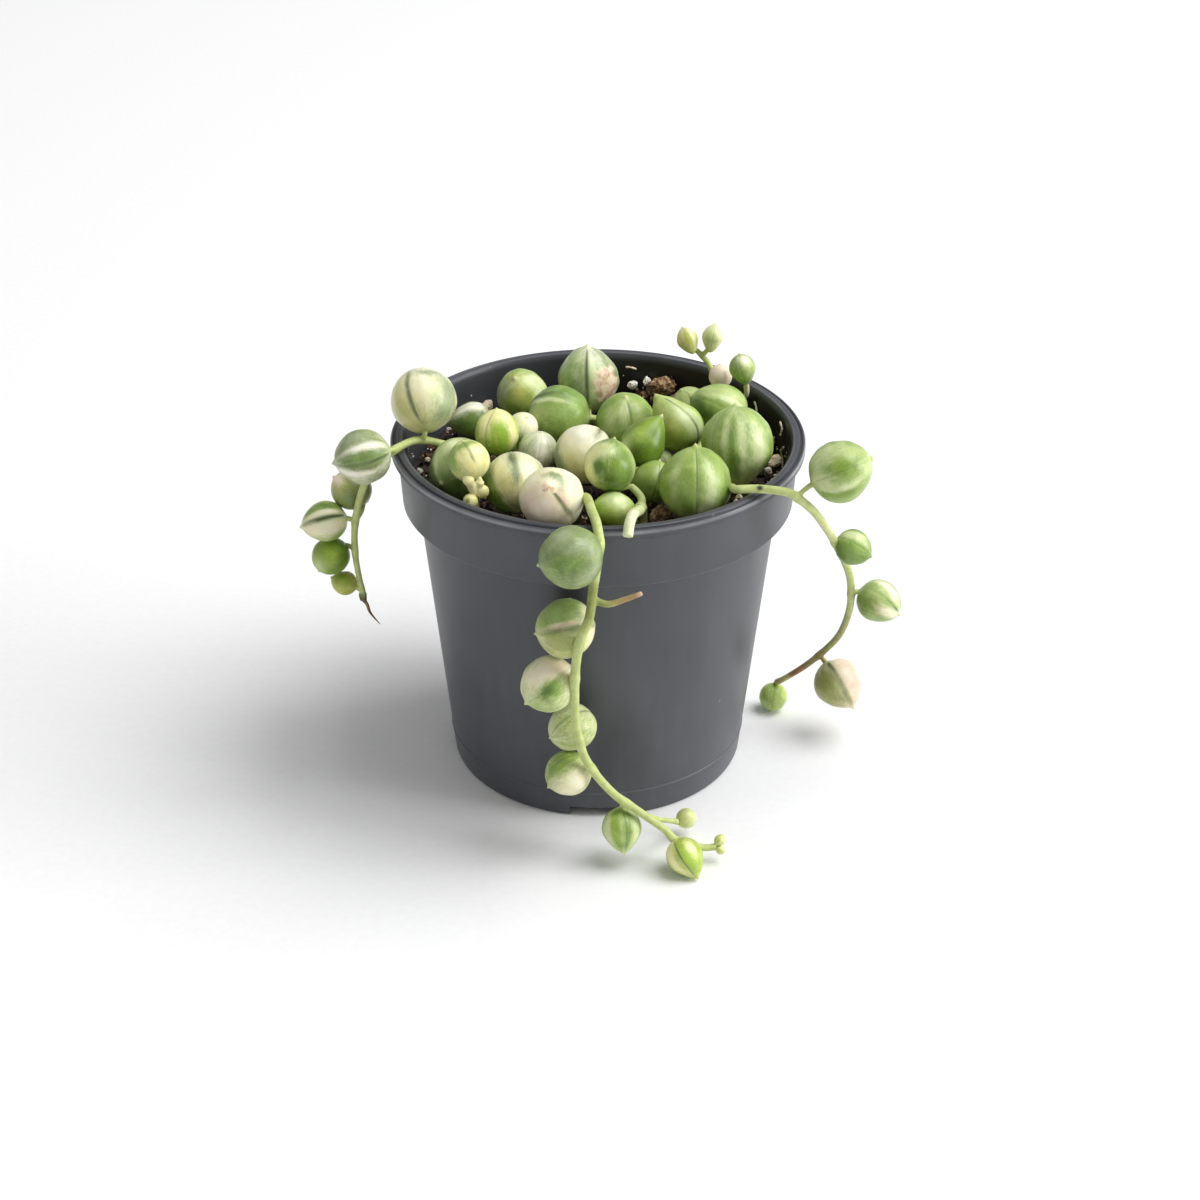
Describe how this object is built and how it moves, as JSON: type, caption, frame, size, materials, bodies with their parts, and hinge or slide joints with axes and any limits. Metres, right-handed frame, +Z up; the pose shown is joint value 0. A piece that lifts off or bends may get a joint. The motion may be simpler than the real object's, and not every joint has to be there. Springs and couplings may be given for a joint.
{
  "type": "potted string of pearls",
  "caption": "Small variegated trailing succulent with round pearl leaves in a tapered nursery pot, vines hanging over the rim.",
  "frame": {"origin": "centre of the pot's flat base, on the surface it stands on", "axes": "+Z up along the pot's axis, -Y towards the front vine, +X towards the right vine"},
  "size_m": [0.0875, 0.069, 0.0627],
  "materials": {
    "pot_plastic": "injection-moulded polypropylene, satin grey",
    "potting_soil": "moist dark peat mix, coarse crumbs",
    "pearl_leaf": "smooth waxy succulent leaf, green with cream variegation",
    "perlite": "expanded white grains, matt",
    "bark_chip": "dry bark chip, rough",
    "pebble": "small tan pebble, matt"
  },
  "bodies": {
    "root": {"pot": "pot_plastic", "soil": "potting_soil", "left_vine": "pearl_leaf", "front_vine": "pearl_leaf", "right_vine": "pearl_leaf", "back_vine": "pearl_leaf", "west_stem": "pearl_leaf", "north_stem": "pearl_leaf", "centre_stem": "pearl_leaf", "south_stem": "pearl_leaf", "east_stem": "pearl_leaf", "bud_shoot": "pearl_leaf", "perlite_1": "perlite", "perlite_2": "perlite", "perlite_side_1": "perlite", "perlite_side_2": "perlite", "bark_1": "bark_chip", "bark_2": "bark_chip", "pebble_1": "pebble", "pebble_2": "pebble"}
  },
  "joints": []
}
